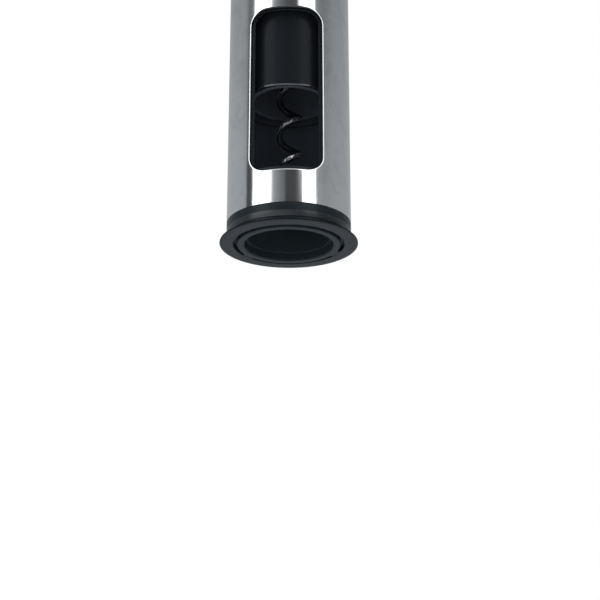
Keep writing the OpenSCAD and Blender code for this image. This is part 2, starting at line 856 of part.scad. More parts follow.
module top_cap() {
    low = handle_high + 2.25;
    side = 3;
    rise = total_h - low - side;
    wall = 2;
    color("#1b1e21")
        rotate_extrude($fn = 96)
            polygon(concat(
                [[handle_in - 1.4, handle_high - 2], [handle_in - 0.1, handle_high - 2], [handle_in - 0.1, low],
                 [handle_r, low]],
                [for (a = [0 : 9 : 90]) [handle_r - 9 + 9 * cos(a), low + side + (rise - 1) * sin(a)]],
                [[8, total_h - 0.4], [0, total_h], [0, total_h - wall]],
                [for (a = [90 : -15 : 0]) [handle_r - 10.4 + 9 * cos(a) - 1, low + side + (rise - 1 - wall) * sin(a)]],
                [[handle_in - 1.4, low]]
            ));
}

// ---------------------------------------------------------------- nodes

body_tube();
base_collar();
neck_guide();
inner_liner();
guide_sleeve();
feed_track();
sleeve_screws();
drive_tube();
worm_holder();
cross_pin();
worm();
grub_screw();
gearbox_plate();
output_bush();
ring_gear();
output_carrier();
output_planet_pins();
output_planet(0);  // output_planet_1
output_planet(1);  // output_planet_2
output_planet(2);  // output_planet_3
sun_carrier();
input_planet_pins();
input_planet(0);  // input_planet_1
input_planet(1);  // input_planet_2
input_planet(2);  // input_planet_3
motor_pinion();
gearbox_cover();
gearbox_screws();
motor_can();
motor_magnets();
armature();
commutator();
rotor_shaft();
motor_endbell();
motor_terminals();
motor_screws();
handle_front();
handle_back();
handle_screws();
handle_ring();
button_bezel();
button(1);  // button_up
arrow(1);  // arrow_up
plunger(1);  // plunger_up
button(-1);  // button_down
arrow(-1);  // arrow_down
plunger(-1);  // plunger_down
tact_switches();
control_board();
board_parts();
indicator_lens();
battery_tray();
battery_cells();
battery_tabs();
motor_leads();
top_cap();
cap_trim();
charge_socket();
charge_pin();
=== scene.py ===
"""Electric wine opener: its finished pieces and its studio, built over the engineering model."""

import math

import bmesh
import bpy
from mathutils import Matrix, Vector


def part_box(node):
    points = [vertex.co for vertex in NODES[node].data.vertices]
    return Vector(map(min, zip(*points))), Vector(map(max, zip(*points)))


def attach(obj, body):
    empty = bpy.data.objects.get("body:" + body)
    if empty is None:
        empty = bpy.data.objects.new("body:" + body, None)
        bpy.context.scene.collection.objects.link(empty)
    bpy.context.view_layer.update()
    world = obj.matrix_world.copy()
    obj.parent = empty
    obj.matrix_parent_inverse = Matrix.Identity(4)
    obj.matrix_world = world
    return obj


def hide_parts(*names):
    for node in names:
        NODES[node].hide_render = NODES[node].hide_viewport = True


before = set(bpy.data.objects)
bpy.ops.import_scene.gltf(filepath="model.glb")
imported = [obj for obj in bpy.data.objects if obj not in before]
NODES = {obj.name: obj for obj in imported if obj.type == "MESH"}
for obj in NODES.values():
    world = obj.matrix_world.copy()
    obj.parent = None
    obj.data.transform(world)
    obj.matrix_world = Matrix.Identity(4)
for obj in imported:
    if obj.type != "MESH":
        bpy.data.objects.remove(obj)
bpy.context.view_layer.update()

bl_info = {
    "name": "Electric Wine Opener",
    "version": (1, 0, 0),
    "blender": (4, 5, 0),
    "location": "3D View > Sidebar > Wine Opener",
    "description": "Builds the finished pieces, materials and studio of an electric wine opener",
    "category": "Add Mesh",
}

MM = 0.001


def low(node):
    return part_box(node)[0]


def high(node):
    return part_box(node)[1]


# ---------------------------------------------------------------- what a user would change


class OpenerSizes(bpy.types.PropertyGroup):
    """Sizes of the visible shells, in metres."""

    window_w: bpy.props.FloatProperty(
        name="Window width", description="Straight width of the viewing window", default=0.0265,
        min=0.02, max=0.03, unit="LENGTH")
    window_low: bpy.props.FloatProperty(
        name="Window's lower edge", description="Height of the window's lower edge", default=0.021,
        min=0.018, max=0.03, unit="LENGTH")
    window_h: bpy.props.FloatProperty(
        name="Window height", description="Height of the viewing window", default=0.0656,
        min=0.04, max=0.07, unit="LENGTH")
    window_r: bpy.props.FloatProperty(
        name="Window corner", description="Corner radius of the viewing window", default=0.006,
        min=0.003, max=0.012, unit="LENGTH")
    rim: bpy.props.FloatProperty(
        name="Window rim", description="Width of the polished rounding around the window",
        default=0.00042, min=0.0001, max=0.001, unit="LENGTH")
    wire: bpy.props.FloatProperty(
        name="Worm wire", description="Thickness of the worm's wire", default=0.0025,
        min=0.002, max=0.003, unit="LENGTH")


def tint(text, label, hint):
    """A colour setting that starts at the sRGB hex colour."""
    return bpy.props.FloatVectorProperty(
        name=label, description=hint, subtype="COLOR", size=4, min=0.0, max=1.0, default=linear(text))


def linear(text):
    """An sRGB hex colour as linear RGBA."""
    parts = [int(text[i:i + 2], 16) / 255 for i in (1, 3, 5)]
    return tuple(c / 12.92 if c <= 0.04045 else ((c + 0.055) / 1.055) ** 2.4 for c in parts) + (1.0,)


class OpenerColours(bpy.types.PropertyGroup):
    """Colours of the main finishes."""

    steel: tint("#d2d4d6", "Stainless", "Colour of the brushed stainless tube")
    chrome: tint("#e4e6e8", "Chrome", "Colour of the plated rings")
    collar: tint("#161c20", "Collar", "Colour of the moulded neck collar")
    guide: tint("#1d2327", "Neck guide", "Colour of the guide inside the collar")
    liner: tint("#0e1012", "Liner", "Colour of the liner behind the window")
    sleeve: tint("#14171a", "Sleeve", "Colour of the guide sleeve in the window")
    handle: tint("#181b1e", "Handle", "Colour of the soft-touch handle")
    button: tint("#272b2f", "Buttons", "Colour of the two buttons")
    worm: tint("#191b1e", "Worm", "Colour of the coated worm")


class OpenerStudio(bpy.types.PropertyGroup):
    """Light and camera of the studio."""

    lens: bpy.props.FloatProperty(
        name="Lens", description="Focal length on a 36 mm frame, in millimetres", default=78.8,
        min=20, max=200)
    tilt: bpy.props.FloatProperty(
        name="Tilt", description="How far the camera looks up", default=math.radians(18.29), subtype="ANGLE")
    turn: bpy.props.FloatProperty(
        name="Turn", description="How far the camera stands round from the window", default=math.radians(2.5),
        subtype="ANGLE")
    grey: bpy.props.FloatProperty(
        name="Room", description="Brightness of the grey room", default=0.47, min=0, max=5)
    softbox: bpy.props.FloatProperty(
        name="Softboxes", description="Brightness of the upright softboxes", default=3.5, min=0, max=20)
    floor_drop: bpy.props.FloatProperty(
        name="Floor drop", description="Height of the floor under the opener", default=0.62, unit="LENGTH")


# ---------------------------------------------------------------- mesh tools


def add_object(name, verts, faces, sharp=35):
    """A mesh object with smooth faces and edges sharper than the angle kept crisp."""
    mesh = bpy.data.meshes.new(name)
    mesh.from_pydata([tuple(v) for v in verts], [], faces)
    mesh.validate()
    work = bmesh.new()
    work.from_mesh(mesh)
    bmesh.ops.remove_doubles(work, verts=work.verts, dist=1e-6)
    bmesh.ops.recalc_face_normals(work, faces=work.faces)
    work.to_mesh(mesh)
    work.free()
    mesh.polygons.foreach_set("use_smooth", [True] * len(mesh.polygons))
    mesh.set_sharp_from_angle(angle=math.radians(sharp))
    piece = bpy.data.objects.new(name, mesh)
    bpy.context.scene.collection.objects.link(piece)
    return piece


def soften(outline, steps=4):
    """A closed outline of (r, z, radius) corners in millimetres, with each corner turned into an arc."""
    done = []
    count = len(outline)
    for i, (r, z, radius) in enumerate(outline):
        here = Vector((r, z))
        before = Vector(outline[i - 1][:2])
        after = Vector(outline[(i + 1) % count][:2])
        one = (before - here).normalized()
        two = (after - here).normalized()
        cosine = max(-1.0, min(1.0, one.dot(two)))
        half = math.acos(cosine) / 2
        if radius <= 0 or half > 1.55:
            done.append((r, z))
            continue
        back = min(radius / math.tan(half), (before - here).length * 0.49, (after - here).length * 0.49)
        radius = back * math.tan(half)
        centre = here + (one + two).normalized() * (radius / math.sin(half))
        start = here + one * back - centre
        end = here + two * back - centre
        sweep = start.angle_signed(end)
        for k in range(steps + 1):
            arm = start.copy()
            arm.rotate(Matrix.Rotation(-sweep * k / steps, 2))
            done.append((centre.x + arm.x, centre.y + arm.y))
    return done


def turned(name, outline, around=192, sharp=35):
    """A closed outline in millimetres, already softened, turned about the Z axis."""
    verts = []
    for i in range(around):
        a = 2 * math.pi * i / around
        verts += [(r * MM * math.cos(a), r * MM * math.sin(a), z * MM) for r, z in outline]
    count = len(outline)
    faces = []
    for i in range(around):
        j = (i + 1) % around
        for k in range(count):
            m = (k + 1) % count
            faces.append((i * count + k, j * count + k, j * count + m, i * count + m))
    return add_object(name, verts, faces, sharp)


def window_loop(width, height, radius, middle, arc, straight):
    """Points (x, z) around a rounded rectangle, from the foot of its upper right corner: arc steps to each
    corner and straight steps to each side."""
    centres = [(sx * (width / 2 - radius), middle + sz * (height / 2 - radius))
               for sx, sz in ((1, 1), (-1, 1), (-1, -1), (1, -1))]
    points = []
    for i, (x, z) in enumerate(centres):
        for k in range(arc + 1):
            a = math.radians(90 * i + 90 * k / arc)
            points.append((x + radius * math.cos(a), z + radius * math.sin(a)))
        a = math.radians(90 * i + 90)
        ahead = centres[(i + 1) % 4]
        for k in range(1, straight):
            t = k / straight
            points.append((x + (ahead[0] - x) * t + radius * math.cos(a),
                           z + (ahead[1] - z) * t + radius * math.sin(a)))
    return points


def windowed_tube(name, outer, inner, bottom, top, window, rim):
    """A tube with a rounded window on its -Y side, its window edge rounded by rim. Sizes in metres. Each skin
    is a plain grid, with a ring of quads between the window and a patch left out of the grid."""
    width, height, radius, middle = window
    arc, straight = 10, 26
    side = arc + straight
    wide = math.radians(52)
    patch_low = bottom + 2 * MM
    patch_top = middle + height / 2 + 11 * MM
    corners = [(wide, patch_top), (-wide, patch_top), (-wide, patch_low), (wide, patch_low)]
    border = []
    for i in range(4 * side):
        k, m = divmod(i - arc // 2, side)
        one, two = corners[k % 4], corners[(k + 1) % 4]
        border.append(tuple(one[c] + (two[c] - one[c]) * m / side for c in (0, 1)))
    columns = [wide - 2 * wide * k / side for k in range(side)]
    columns += [-wide - (2 * math.pi - 2 * wide) * k / 84 for k in range(85)]
    rows = [bottom] + [patch_low + (patch_top - patch_low) * k / side for k in range(side + 1)]
    rows += [patch_top + (top - patch_top) * k / 18 for k in range(1, 19)]
    verts = []
    faces = []

    def put(corners_of_face):
        """One face from (angle, z, r) corners."""
        faces.append(tuple(range(len(verts), len(verts) + len(corners_of_face))))
        verts.extend((r * math.sin(a), -r * math.cos(a), z) for a, z, r in corners_of_face)

    def band(one, two):
        """Quads between two loops of (angle, z, r) points."""
        for i in range(len(one)):
            j = (i + 1) % len(one)
            put((one[i], one[j], two[j], two[i]))

    def opening(by, r):
        """The window's outline grown by the given amount, laid on radius r."""
        loop = window_loop(width + 2 * by, height + 2 * by, radius + by, middle, arc, straight)
        return [(math.asin(x / r), z, r) for x, z in loop]

    for r, by in ((outer, rim), (inner, 0)):
        for i in range(len(columns) - 1):
            for j in range(len(rows) - 1):
                if i >= side or not 1 <= j <= side:
                    square = ((i, j), (i + 1, j), (i + 1, j + 1), (i, j + 1))
                    put([(columns[a], rows[b], r) for a, b in square])
        edge = opening(by, r)
        rings = 16
        loops = []
        for k in range(rings + 1):
            t = (k / rings) ** 1.4
            loops.append([(e[0] + (b[0] - e[0]) * t, e[1] + (b[1] - e[1]) * t, r)
                          for e, b in zip(edge, border)])
        for one, two in zip(loops, loops[1:]):
            band(one, two)
    turns = 6
    rounding = [opening(rim * (1 - math.sin(math.pi / 2 * k / turns)),
                        outer - rim * (1 - math.cos(math.pi / 2 * k / turns))) for k in range(turns + 1)]
    rounding.append(opening(0, inner))
    for one, two in zip(rounding, rounding[1:]):
        band(one, two)
    for z in (bottom, top):
        for one, two in zip(columns, columns[1:]):
            put([(one, z, outer), (two, z, outer), (two, z, inner), (one, z, inner)])
    return add_object(name, verts, faces, 40)


def swept(name, path, radii, sides=16, lean=None):
    """A round wire through the points of path, in metres, closed at both ends."""
    verts = []
    faces = []
    last = len(path) - 1
    side = None
    for i, p in enumerate(path):
        along = (Vector(path[min(i + 1, last)]) - Vector(path[max(i - 1, 0)])).normalized()
        if lean is not None:
            side = Vector(lean(i))
        elif side is None:
            side = Vector((0, 0, 1)) if abs(along.z) < 0.9 else Vector((1, 0, 0))
        up = along.cross(side).normalized()
        side = up.cross(along).normalized()
        for k in range(sides):
            a = 2 * math.pi * k / sides
            verts.append(Vector(p) + radii[i] * (side * math.cos(a) + up * math.sin(a)))
    for i in range(last):
        for k in range(sides):
            m = (k + 1) % sides
            faces.append((i * sides + k, i * sides + m, (i + 1) * sides + m, (i + 1) * sides + k))
    faces.append(tuple(range(sides - 1, -1, -1)))
    faces.append(tuple(last * sides + k for k in range(sides)))
    return add_object(name, verts, faces, 50)


def soft_edges(node, width, angle=32, segments=2):
    """Rounds the sharp edges of a CAD piece with a modifier, leaving its mesh as it is."""
    piece = NODES[node]
    bevel = piece.modifiers.new("Soft edges", "BEVEL")
    bevel.width = width
    bevel.segments = segments
    bevel.limit_method = "ANGLE"
    bevel.angle_limit = math.radians(angle)
    bevel.use_clamp_overlap = True
    bevel.harden_normals = False
    return piece


def dress(piece, *materials):
    """Gives the piece these materials in place of its own."""
    piece.data.materials.clear()
    for m in materials:
        piece.data.materials.append(m)


def stand_in(piece, body, slot, *nodes):
    """piece moves with the body and is shown in place of the nodes. slot is not used."""
    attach(piece, body)
    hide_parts(*nodes)
    return piece


# ---------------------------------------------------------------- materials


# A mix node's sockets: its factor, the two colours or numbers it mixes, and the colour or number it gives.
FACTOR = 0
COLOUR_A = 6
COLOUR_B = 7
MIXED_COLOUR = 2
NUMBER_A = 2
NUMBER_B = 3
MIXED_NUMBER = 0


def join(tree, source, made, socket):
    """Joins a source, given as (node, output), to the node's socket."""
    tree.links.new(source[0].outputs[source[1]], made.inputs[socket])


def node(tree, kind, settings=None, **links):
    """Adds a shader node with its settings and links. Settings are properties, and sockets by name or
    number, and one given as (node, output) is joined. Links are sockets by name, with _ for a space."""
    made = tree.nodes.new(kind)
    for key, value in (settings or {}).items():
        if isinstance(value, tuple) and isinstance(value[0], bpy.types.Node):
            join(tree, value, made, key)
        elif isinstance(key, str) and hasattr(made, key) and key not in made.inputs:
            setattr(made, key, value)
        else:
            made.inputs[key].default_value = value
    for key, source in links.items():
        join(tree, source, made, key.replace("_", " "))
    return made


def axis_distance(tree, where):
    """Distance from the opener's axis, as (node, output)."""
    split = node(tree, "ShaderNodeSeparateXYZ", Vector=(where, "Object"))
    flat = node(tree, "ShaderNodeCombineXYZ", X=(split, "X"), Y=(split, "Y"))
    far = node(tree, "ShaderNodeVectorMath", {"operation": "LENGTH", 0: (flat, "Vector")})
    return far, "Value"


def shade_of(colour, factor):
    """The colour made lighter or darker by the factor."""
    return tuple(c * factor for c in colour[:3]) + (1.0,)


def worn_edges(tree, width, patches):
    """1 on outward edges within the width, broken up by the patches, and 0 on open faces, as (node,
    output)."""
    round_normal = node(tree, "ShaderNodeBevel", {"samples": 4, "Radius": width})
    shape = node(tree, "ShaderNodeNewGeometry")
    turn = node(tree, "ShaderNodeVectorMath",
                {"operation": "DOT_PRODUCT", 0: (round_normal, "Normal"), 1: (shape, "Normal")})
    edge = node(tree, "ShaderNodeMapRange", {"From Min": 0.995, "From Max": 0.9}, Value=(turn, "Value"))
    broken = node(tree, "ShaderNodeMath", {"operation": "MULTIPLY", 0: (edge, "Result"), 1: (patches, "Fac")})
    return broken, "Value"


def new_material(name):
    """An empty material, its node tree and its shader."""
    material = bpy.data.materials.new(name)
    material.use_nodes = True
    tree = material.node_tree
    tree.nodes.clear()
    out = node(tree, "ShaderNodeOutputMaterial")
    shader = node(tree, "ShaderNodeBsdfPrincipled")
    tree.links.new(shader.outputs["BSDF"], out.inputs["Surface"])
    return material, tree, shader


def brushed_stainless(name, colour, rough, streak, grain_mm):
    """Stainless brushed round and round: fine parallel scratches that stretch each reflection across them,
    faint cloudy patches where the belt pressed harder, and the darker smears that fingers leave."""
    material, tree, shader = new_material(name)
    where = node(tree, "ShaderNodeTexCoord")
    # Scratches are grain_mm apart up the tube, and about 60 times as long round it.
    across = 1 / (grain_mm * MM)
    belt = node(tree, "ShaderNodeMapping", {"Scale": (across / 60, across / 60, across)},
                Vector=(where, "Object"))
    scratch = node(tree, "ShaderNodeTexNoise", {"Scale": 1.0, "Detail": 3.0, "Roughness": 0.6},
                   Vector=(belt, "Vector"))
    # Clouds about 9 mm across, drawn out along the tube.
    drawn_out = node(tree, "ShaderNodeMapping", {"Scale": (110, 110, 42)}, Vector=(where, "Object"))
    cloud = node(tree, "ShaderNodeTexNoise", {"Scale": 1.0}, Vector=(drawn_out, "Vector"))
    # Smears are a few millimetres across, and a shade darker than the steel.
    hand = node(tree, "ShaderNodeMapping", {"Scale": (170, 170, 120)}, Vector=(where, "Object"))
    smear = node(tree, "ShaderNodeTexNoise",
                 {"Scale": 1.0, "Detail": 5.0, "Roughness": 0.6, "Distortion": 0.8}, Vector=(hand, "Vector"))
    touched = node(tree, "ShaderNodeMapRange", {"From Min": 0.5, "From Max": 0.68}, Value=(smear, "Fac"))
    rough_lines = node(tree, "ShaderNodeMapRange", {"To Min": rough - streak, "To Max": rough + streak},
                       Value=(scratch, "Fac"))
    rough_clouds = node(tree, "ShaderNodeMapRange", {"To Min": -0.03, "To Max": 0.03}, Value=(cloud, "Fac"))
    shine = node(tree, "ShaderNodeMath",
                 {"operation": "ADD", 0: (rough_lines, "Result"), 1: (rough_clouds, "Result")})
    join(tree, (shine, "Value"), shader, "Roughness")
    shade = node(tree, "ShaderNodeMix",
                 {"data_type": "RGBA", FACTOR: (scratch, "Fac"), COLOUR_A: shade_of(colour, 0.88),
                  COLOUR_B: tuple(colour)})
    smeared = node(tree, "ShaderNodeMix",
                   {"data_type": "RGBA", FACTOR: (touched, "Result"), COLOUR_A: (shade, MIXED_COLOUR),
                    COLOUR_B: shade_of(colour, 0.84)})
    join(tree, (smeared, MIXED_COLOUR), shader, "Base Color")
    bump = node(tree, "ShaderNodeBump", {"Strength": 0.06, "Distance": 0.02 * MM}, Height=(scratch, "Fac"))
    join(tree, (bump, "Normal"), shader, "Normal")
    shader.inputs["Metallic"].default_value = 1.0
    # The belt ran round the tube, so each light draws out up and down it and stays crisp across it.
    tangent = node(tree, "ShaderNodeTangent", {"direction_type": "RADIAL", "axis": "Z"})
    join(tree, (tangent, "Tangent"), shader, "Tangent")
    shader.inputs["Anisotropic"].default_value = 0.5
    shader.inputs["Anisotropic Rotation"].default_value = 0.25
    return material


def polished_metal(name, colour, rough=0.09):
    """Plated or polished metal: near mirror, with fingerprints that dull it slightly."""
    material, tree, shader = new_material(name)
    where = node(tree, "ShaderNodeTexCoord")
    # Prints about 6 mm across.
    hand = node(tree, "ShaderNodeMapping", {"Scale": (160, 160, 160)}, Vector=(where, "Object"))
    smear = node(tree, "ShaderNodeTexNoise", {"Scale": 1.0, "Detail": 4.0}, Vector=(hand, "Vector"))
    shine = node(tree, "ShaderNodeMapRange", {"To Min": rough * 0.6, "To Max": rough * 1.7},
                 Value=(smear, "Fac"))
    join(tree, (shine, "Result"), shader, "Roughness")
    shade = node(tree, "ShaderNodeMix",
                 {"data_type": "RGBA", FACTOR: (smear, "Fac"), COLOUR_A: tuple(colour),
                  COLOUR_B: shade_of(colour, 0.93)})
    join(tree, (shade, MIXED_COLOUR), shader, "Base Color")
    shader.inputs["Metallic"].default_value = 1.0
    return material


def machined_metal(name, colour, rough, ring_mm=0.25):
    """Turned or sintered metal: fine tool rings and small dark pores."""
    material, tree, shader = new_material(name)
    where = node(tree, "ShaderNodeTexCoord")
    # Rings are ring_mm apart along the axis, and 8 times as long round it.
    across = 1 / (ring_mm * MM)
    tool = node(tree, "ShaderNodeMapping", {"Scale": (across / 8, across / 8, across)},
                Vector=(where, "Object"))
    rings = node(tree, "ShaderNodeTexNoise", {"Scale": 1.0}, Vector=(tool, "Vector"))
    # Pores are about 0.3 mm apart.
    powder = node(tree, "ShaderNodeMapping", {"Scale": (3000, 3000, 3000)}, Vector=(where, "Object"))
    pores = node(tree, "ShaderNodeTexNoise", {"Scale": 1.0, "Detail": 1.0}, Vector=(powder, "Vector"))
    shine = node(tree, "ShaderNodeMapRange", {"To Min": rough * 0.8, "To Max": rough * 1.3},
                 Value=(rings, "Fac"))
    join(tree, (shine, "Result"), shader, "Roughness")
    shade = node(tree, "ShaderNodeMix",
                 {"data_type": "RGBA", FACTOR: (pores, "Fac"), COLOUR_A: shade_of(colour, 0.8),
                  COLOUR_B: tuple(colour)})
    join(tree, (shade, MIXED_COLOUR), shader, "Base Color")
    bump = node(tree, "ShaderNodeBump", {"Strength": 0.2, "Distance": 0.03 * MM}, Height=(rings, "Fac"))
    join(tree, (bump, "Normal"), shader, "Normal")
    shader.inputs["Metallic"].default_value = 1.0
    return material


def moulded_plastic(name, colour, rough, grain_mm=0.35, grain=0.15, gloss=0.5, dust=0.06, wear=0.3,
                    bore=None):
    """Moulded plastic: a fine spark-eroded grain breaks up the gloss, dust and handling make slow changes in
    its shine, and handling rubs its edges pale and smooth. bore is (radius, colour): inside that radius the
    surface takes the lighter colour, painted light that brightens a dim inside."""
    material, tree, shader = new_material(name)
    where = node(tree, "ShaderNodeTexCoord")
    across = 1 / (grain_mm * MM)
    spark = node(tree, "ShaderNodeMapping", {"Scale": (across, across, across)}, Vector=(where, "Object"))
    grains = node(tree, "ShaderNodeTexNoise", {"Scale": 1.0, "Detail": 3.0, "Roughness": 0.6},
                  Vector=(spark, "Vector"))
    # Handling changes the shine over 7 to 11 mm.
    hand = node(tree, "ShaderNodeMapping", {"Scale": (140, 140, 90)}, Vector=(where, "Object"))
    slow = node(tree, "ShaderNodeTexNoise", {"Scale": 1.0, "Detail": 3.0}, Vector=(hand, "Vector"))
    lighter = tuple(min(1.0, c * (1 + dust * 4) + dust * 0.02) for c in colour[:3]) + (1.0,)
    rubbed_colour = tuple(min(1.0, c * (1 + wear) + wear * 0.012) for c in colour[:3]) + (1.0,)
    edge = worn_edges(tree, 0.25 * MM, slow)
    shade = node(tree, "ShaderNodeMix",
                 {"data_type": "RGBA", FACTOR: (grains, "Fac"), COLOUR_A: tuple(colour), COLOUR_B: lighter})
    shade = node(tree, "ShaderNodeMix",
                 {"data_type": "RGBA", FACTOR: edge, COLOUR_A: (shade, MIXED_COLOUR),
                  COLOUR_B: rubbed_colour})
    handled = node(tree, "ShaderNodeMapRange", {"To Min": rough - 0.07, "To Max": rough + 0.09},
                   Value=(slow, "Fac"))
    shine = node(tree, "ShaderNodeMix",
                 {"data_type": "FLOAT", FACTOR: edge, NUMBER_A: (handled, "Result"), NUMBER_B: rough * 0.7})
    join(tree, (shine, MIXED_NUMBER), shader, "Roughness")
    if bore:
        # Painted light: inside the bore's radius the colour turns lighter, to brighten a dim inside.
        radius, bore_painted_light = bore
        inside = node(tree, "ShaderNodeMapRange", {"From Min": radius + 0.1 * MM, "From Max": radius},
                      Value=axis_distance(tree, where))
        shade = node(tree, "ShaderNodeMix",
                     {"data_type": "RGBA", FACTOR: (inside, "Result"), COLOUR_A: (shade, MIXED_COLOUR),
                      COLOUR_B: bore_painted_light})
    join(tree, (shade, MIXED_COLOUR), shader, "Base Color")
    bump = node(tree, "ShaderNodeBump", {"Strength": grain, "Distance": 0.03 * MM}, Height=(grains, "Fac"))
    join(tree, (bump, "Normal"), shader, "Normal")
    shader.inputs["IOR"].default_value = 1.5
    shader.inputs["Specular IOR Level"].default_value = gloss
    return material


def coated_wire(name, colour, coil_r, wire):
    """Spring wire in a dark slick coating, with bright steel on the outside of the coil, where corks have
    worn the coating through."""
    material, tree, shader = new_material(name)
    where = node(tree, "ShaderNodeTexCoord")
    rub = node(tree, "ShaderNodeMapping", {"Scale": (700, 700, 300)}, Vector=(where, "Object"))
    wear = node(tree, "ShaderNodeTexNoise", {"Scale": 1.0, "Detail": 5.0, "Roughness": 0.65},
                Vector=(rub, "Vector"))
    outside = node(tree, "ShaderNodeMapRange",
                   {"From Min": coil_r + wire * 0.38, "From Max": coil_r + wire * 0.47},
                   Value=axis_distance(tree, where))
    patchy = node(tree, "ShaderNodeMapRange", {"From Min": 0.36, "From Max": 0.52}, Value=(wear, "Fac"))
    worn = node(tree, "ShaderNodeMath",
                {"operation": "MULTIPLY", 0: (outside, "Result"), 1: (patchy, "Result")})
    shade = node(tree, "ShaderNodeMix",
                 {"data_type": "RGBA", FACTOR: (worn, "Value"), COLOUR_A: tuple(colour),
                  COLOUR_B: linear("#a9acae")})
    join(tree, (shade, MIXED_COLOUR), shader, "Base Color")
    shine = node(tree, "ShaderNodeMapRange", {"To Min": 0.15, "To Max": 0.3}, Value=(wear, "Fac"))
    join(tree, (shine, "Result"), shader, "Roughness")
    join(tree, (worn, "Value"), shader, "Metallic")
    shader.inputs["Specular IOR Level"].default_value = 0.1
    return material


def clear_lens(name, colour):
    """Tinted clear polycarbonate with a frosted face, so that it glows faintly and doesn't show through."""
    material, tree, shader = new_material(name)
    where = node(tree, "ShaderNodeTexCoord")
    etch = node(tree, "ShaderNodeMapping", {"Scale": (900, 900, 900)}, Vector=(where, "Object"))
    frost = node(tree, "ShaderNodeTexNoise", {"Scale": 1.0}, Vector=(etch, "Vector"))
    shine = node(tree, "ShaderNodeMapRange", {"To Min": 0.12, "To Max": 0.3}, Value=(frost, "Fac"))
    join(tree, (shine, "Result"), shader, "Roughness")
    shader.inputs["Base Color"].default_value = colour
    shader.inputs["Transmission Weight"].default_value = 0.6
    shader.inputs["IOR"].default_value = 1.58
    return material


def finish_nodes(material, *names):
    """Gives the named CAD pieces one material."""
    for name in names:
        dress(NODES[name], material)


# ---------------------------------------------------------------- operators


class Build:
    """What every operator shares: undo, and the settings that it reads."""

    bl_options = {"REGISTER", "UNDO"}

    @property
    def sizes(self):
        return bpy.context.scene.opener_sizes

    @property
    def colours(self):
        return bpy.context.scene.opener_colours


class OPENER_OT_tube(Build, bpy.types.Operator):
    """Stainless tube with its polished window, and the plated rings."""

    bl_idname = "opener.tube"
    bl_label = "Tube and rings"

    def execute(self, context):
        s = self.sizes
        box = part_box("body_tube")
        outer = box[1].x
        window = (s.window_w, s.window_h, s.window_r, s.window_low + s.window_h / 2)
        tube = windowed_tube("stainless_tube", outer, outer - 0.8 * MM, box[0].z, box[1].z, window, s.rim)
        stand_in(tube, "housing", "brushed_stainless", "body_tube")
        # The window is punched and its sides and foot are polished; its head keeps the grey sheared edge.
        dress(tube, brushed_stainless("Brushed stainless steel", self.colours.steel, 0.13, 0.03, 0.35),
              brushed_stainless("Sheared stainless edge", linear("#4c4e50"), 0.5, 0.1, 0.2))
        head = s.window_low + s.window_h - s.window_r
        for face in tube.data.polygons:
            middle = face.center
            if middle.z > head and face.normal.z < -0.35:
                face.material_index = 1
        chrome = polished_metal("Polished chrome plate", self.colours.chrome)
        finish_nodes(chrome, "handle_ring", "cap_trim", "button_bezel")
        soft_edges("handle_ring", 0.12 * MM)
        soft_edges("cap_trim", 0.12 * MM)
        soft_edges("button_bezel", 0.15 * MM)
        return {"FINISHED"}


class OPENER_OT_neck(Build, bpy.types.Operator):
    """Moulded collar and the stepped guide that centres the bottle's neck."""

    bl_idname = "opener.neck"
    bl_label = "Neck collar"

    def execute(self, context):
        top = high("base_collar").z / MM
        tube = high("body_tube").x / MM
        flange = high("base_collar").x / MM
        spigot = tube - 0.85
        collar = turned("neck_collar", soften([
            (20.5, 0.3, 0.2), (24.2, 0.3, 1.5), (flange, 0.5, 0.2), (flange, 1.02, 0.22),
            (tube + 0.6, 1.2, 0.4), (tube - 0.6, 1.3, 0.5), (tube - 0.6, 2.9, 0.1), (tube - 0.42, 3.0, 0.2),
            (tube - 0.02, 5.2, 0.5), (tube - 0.02, 8.2, 0.25), (spigot, 8.2, 0),
            (spigot, top, 0.3), (20.5, top, 0.3)]))
        stand_in(collar, "housing", "black_abs", "base_collar")
        plastic = moulded_plastic("Moulded ABS, satin", self.colours.collar, 0.33, gloss=0.09)
        bead = moulded_plastic("Moulded ABS, bead polished by handling", linear("#181d21"), 0.26, gloss=0.5)
        # The flange's rim is left dull and painted darker than the collar, painted shade for the dark outline
        # along its edge.
        dull_rim_painted_shade = moulded_plastic("Moulded ABS, dull rim, painted shade", linear("#101315"), 0.6, gloss=0.03)
        dress(collar, plastic, dull_rim_painted_shade, bead)
        for face in collar.data.polygons:
            middle = face.center
            if math.hypot(middle.x, middle.y) > (flange - 0.12) * MM:
                face.material_index = 1
            elif 3.05 * MM < middle.z < 5.2 * MM and math.hypot(middle.x, middle.y) > (tube - 0.6) * MM:
                face.material_index = 2
        finish_nodes(moulded_plastic("Moulded ABS, worn satin", self.colours.guide, 0.4, gloss=0.07),
                     "neck_guide")
        soft_edges("neck_guide", 0.22 * MM, segments=3)
        return {"FINISHED"}


